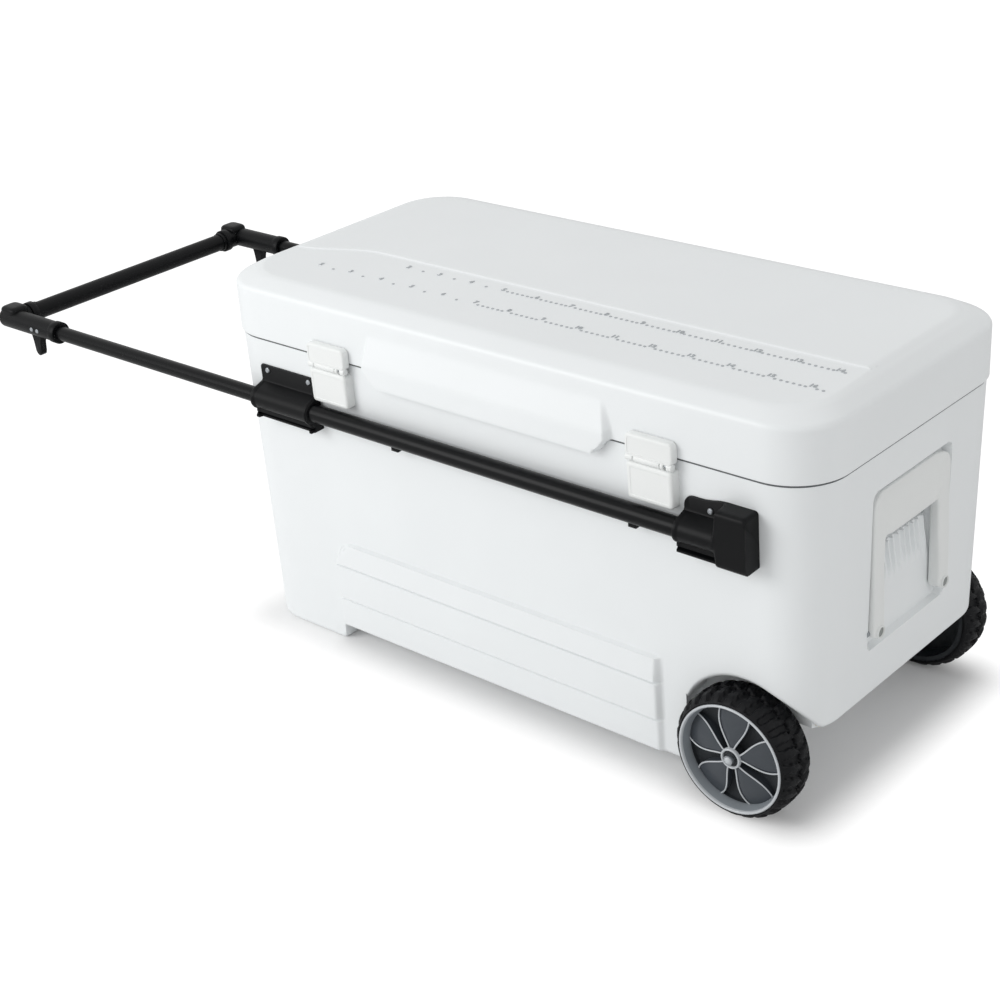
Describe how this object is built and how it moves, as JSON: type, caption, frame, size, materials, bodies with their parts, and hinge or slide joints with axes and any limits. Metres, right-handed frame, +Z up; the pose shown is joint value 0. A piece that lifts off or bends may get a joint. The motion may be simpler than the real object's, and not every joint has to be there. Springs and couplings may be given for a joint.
{
  "type": "cooler on wheels",
  "caption": "Insulated chest on wheels with a hinged lid, flap latches, folding end handles, a drain and a tow handle that slides out along both sides.",
  "frame": {"origin": "middle of the foot's flat underside, on the ground", "axes": "+X along the chest towards the wheels, -Y the side with the latches, +Z up"},
  "size_m": [1.502, 0.5106, 0.5488],
  "materials": {
    "white_shell": "moulded polyethylene, fine satin grain",
    "white_liner": "smooth moulded liner",
    "foam": "closed-cell foam",
    "white_hardware": "moulded nylon",
    "black_tube": "semi-gloss powder coat",
    "black_plastic": "moulded, satin",
    "black_grip": "soft ribbed grip",
    "steel": "zinc plated",
    "hub_dark": "moulded, satin",
    "hub_silver": "silver paint",
    "tyre_black": "moulded tread"
  },
  "bodies": {
    "tub": {"tub_shell": "white_shell", "tub_foam": "foam", "tub_liner": "white_liner", "tub_hinge_leaves": "white_hardware", "hinge_pins": "steel", "tub_hinge_screws": "steel", "latch_base_left": "white_hardware", "latch_base_right": "white_hardware", "latch_pins": "steel", "latch_screws": "steel", "outer_tube_front": "black_tube", "outer_tube_back": "black_tube", "guide_bracket_front": "black_plastic", "guide_bracket_back": "black_plastic", "socket_bracket_front": "black_plastic", "socket_bracket_back": "black_plastic", "bracket_screws": "steel", "rail_clips": "black_plastic", "end_handle_pins": "steel", "axle": "steel", "axle_washers": "steel", "axle_push_nuts": "hub_silver", "drain_fitting": "white_hardware", "drain_nut": "white_hardware", "drain_gasket": "black_grip"},
    "lid": {"lid_shell": "white_shell", "lid_lip": "white_shell", "lid_foam": "foam", "lid_liner": "white_liner", "lid_hinge_leaves": "white_hardware", "lid_hinge_screws": "steel"},
    "left_latch": {"latch_left": "white_hardware"},
    "right_latch": {"latch_right": "white_hardware"},
    "tow_handle": {"slide_tube_front": "black_tube", "slide_tube_back": "black_tube", "slide_bush_front": "black_plastic", "slide_bush_back": "black_plastic", "corner_fitting_front": "black_plastic", "corner_fitting_back": "black_plastic", "fitting_rivets": "steel", "crossbar_tube": "black_tube", "crossbar_grip": "black_grip"},
    "left_end_handle": {"end_handle_left": "white_hardware"},
    "right_end_handle": {"end_handle_right": "white_hardware"},
    "front_wheel": {"wheel_hub_front": "hub_dark", "wheel_trim_front": "hub_silver", "tyre_front": "tyre_black"},
    "back_wheel": {"wheel_hub_back": "hub_dark", "wheel_trim_back": "hub_silver", "tyre_back": "tyre_black"},
    "drain_cap": {"drain_cap": "white_hardware"}
  },
  "joints": [
    {"name": "lid_open", "type": "hinge", "parent": "tub", "child": "lid", "pos_m": [0.3975, 0.2341, 0.461], "axis": [-1, 0, 0], "range_deg": [0, 100]},
    {"name": "left_latch_swing", "type": "hinge", "parent": "tub", "child": "left_latch", "pos_m": [0.1285, -0.236, 0.45], "axis": [1, 0, 0], "range_deg": [0, 110]},
    {"name": "right_latch_swing", "type": "hinge", "parent": "tub", "child": "right_latch", "pos_m": [0.6665, -0.236, 0.45], "axis": [1, 0, 0], "range_deg": [0, 110]},
    {"name": "tow_handle_slide", "type": "slide", "parent": "tub", "child": "tow_handle", "axis": [1, 0, 0], "range_m": [0, 0.42]},
    {"name": "left_end_handle_swing", "type": "hinge", "parent": "tub", "child": "left_end_handle", "pos_m": [-0.08352, 0, 0.218], "axis": [0, -1, 0], "range_deg": [0, 95]},
    {"name": "right_end_handle_swing", "type": "hinge", "parent": "tub", "child": "right_end_handle", "pos_m": [0.87852, 0, 0.218], "axis": [0, 1, 0], "range_deg": [0, 95]},
    {"name": "front_wheel_roll", "type": "hinge", "parent": "tub", "child": "front_wheel", "pos_m": [0.7855, -0.2205, 0.086], "axis": [0, 1, 0], "continuous": true},
    {"name": "back_wheel_roll", "type": "hinge", "parent": "tub", "child": "back_wheel", "pos_m": [0.7855, 0.2205, 0.086], "axis": [0, 1, 0], "continuous": true},
    {"name": "drain_cap_turn", "type": "hinge", "parent": "tub", "child": "drain_cap", "pos_m": [-0.08359, 0, 0.0974], "axis": [-1, 0, 0], "range_deg": [0, 340]}
  ]
}
